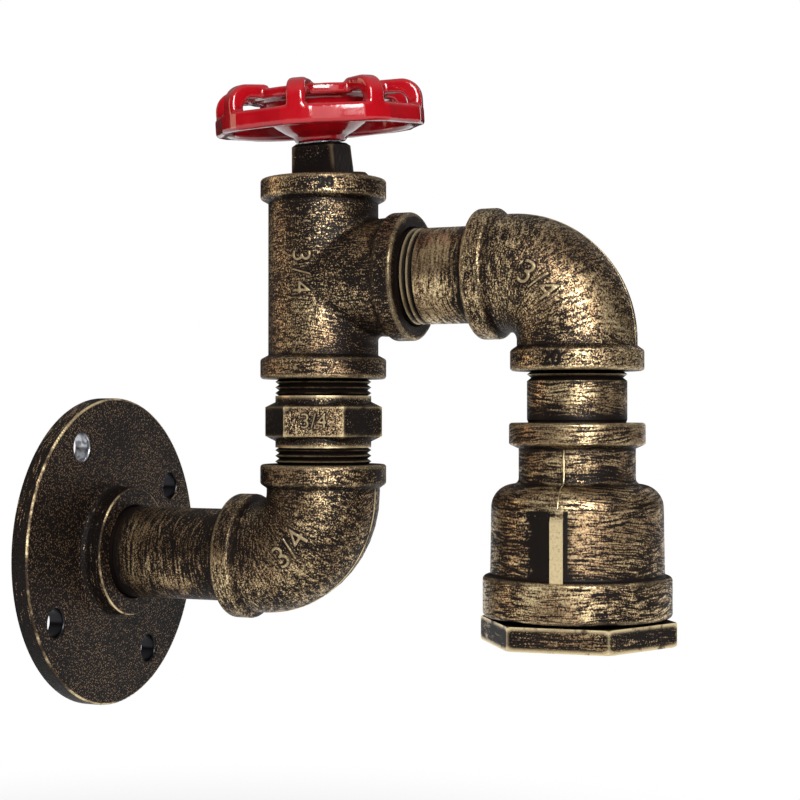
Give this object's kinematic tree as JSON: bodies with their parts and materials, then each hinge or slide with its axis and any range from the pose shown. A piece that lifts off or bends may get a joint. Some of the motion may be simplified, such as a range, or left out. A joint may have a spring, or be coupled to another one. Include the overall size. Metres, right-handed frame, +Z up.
{
  "type": "industrial pipe wall light",
  "caption": "Wall light of threaded pipe fittings: round wall flange, elbow, hex nipple, tee with plug and turning handwheel, branch, down-turned elbow and bell with screw lampholder.",
  "frame": {"origin": "centre of the wall flange's back face, on the wall", "axes": "+Y points into the wall, so the light stands out along -Y; +Z is up; +X completes the right-handed frame"},
  "size_m": [0.092, 0.1769, 0.1833],
  "materials": {
    "antique_bronze_casting": "black base dry-brushed with gold, rough cast, edges rubbed bright",
    "antique_bronze_pipe": "black base dry-brushed with gold round the pipe",
    "blackened_iron": "near black, rough cast",
    "red_enamel": "high gloss red enamel",
    "zinc_plate": "bright zinc",
    "black_rubber": "matt rubber",
    "fibre": "pressed fibre, matt",
    "porcelain": "glazed white porcelain",
    "brass": "drawn brass, lightly dulled",
    "spring_steel": "bare spring steel",
    "blue_insulation": "heat-resistant insulation",
    "brown_insulation": "heat-resistant insulation",
    "green_insulation": "heat-resistant insulation",
    "copper": "bare copper",
    "tinned_brass": "tinned"
  },
  "bodies": {
    "fixture": {"wall_flange": "antique_bronze_casting", "wall_nipple": "antique_bronze_pipe", "wall_grommet": "black_rubber", "lower_elbow": "antique_bronze_casting", "hex_nipple": "antique_bronze_pipe", "pipe_tee": "antique_bronze_casting", "stem_plug": "blackened_iron", "thrust_washer": "zinc_plate", "wheel_washer": "zinc_plate", "shoulder_screw": "zinc_plate", "branch_nipple": "antique_bronze_pipe", "upper_elbow": "antique_bronze_casting", "drop_nipple": "antique_bronze_pipe", "bell_reducer": "antique_bronze_casting", "hex_bushing": "antique_bronze_casting", "lampholder_gasket": "fibre", "lampholder_body": "porcelain", "lampholder_shell": "brass", "clamp_washer": "spring_steel", "neutral_terminal": "brass", "live_terminal": "brass", "pillar_screws": "zinc_plate", "terminal_rivets": "brass", "contact_spring": "spring_steel", "neutral_lead": "blue_insulation", "live_lead": "brown_insulation", "earth_lead": "green_insulation", "lead_cores": "copper", "earth_lug": "tinned_brass", "earth_screw": "zinc_plate"},
    "wheel": {"handwheel": "red_enamel"},
    "contact": {"centre_contact": "brass", "contact_clip": "spring_steel"}
  },
  "joints": [
    {"name": "wheel_turn", "type": "hinge", "parent": "fixture", "child": "wheel", "pos_m": [-0.00132, -0.07394, 0.12198], "axis": [-0.0954, 0.026, 0.9951], "continuous": true},
    {"name": "contact_press", "type": "slide", "parent": "fixture", "child": "contact", "axis": [0, 0, 1], "range_m": [0, 0.0012], "stiffness_N_per_m": 800, "springref_m": -0.001, "deforming": ["contact_spring"]}
  ]
}
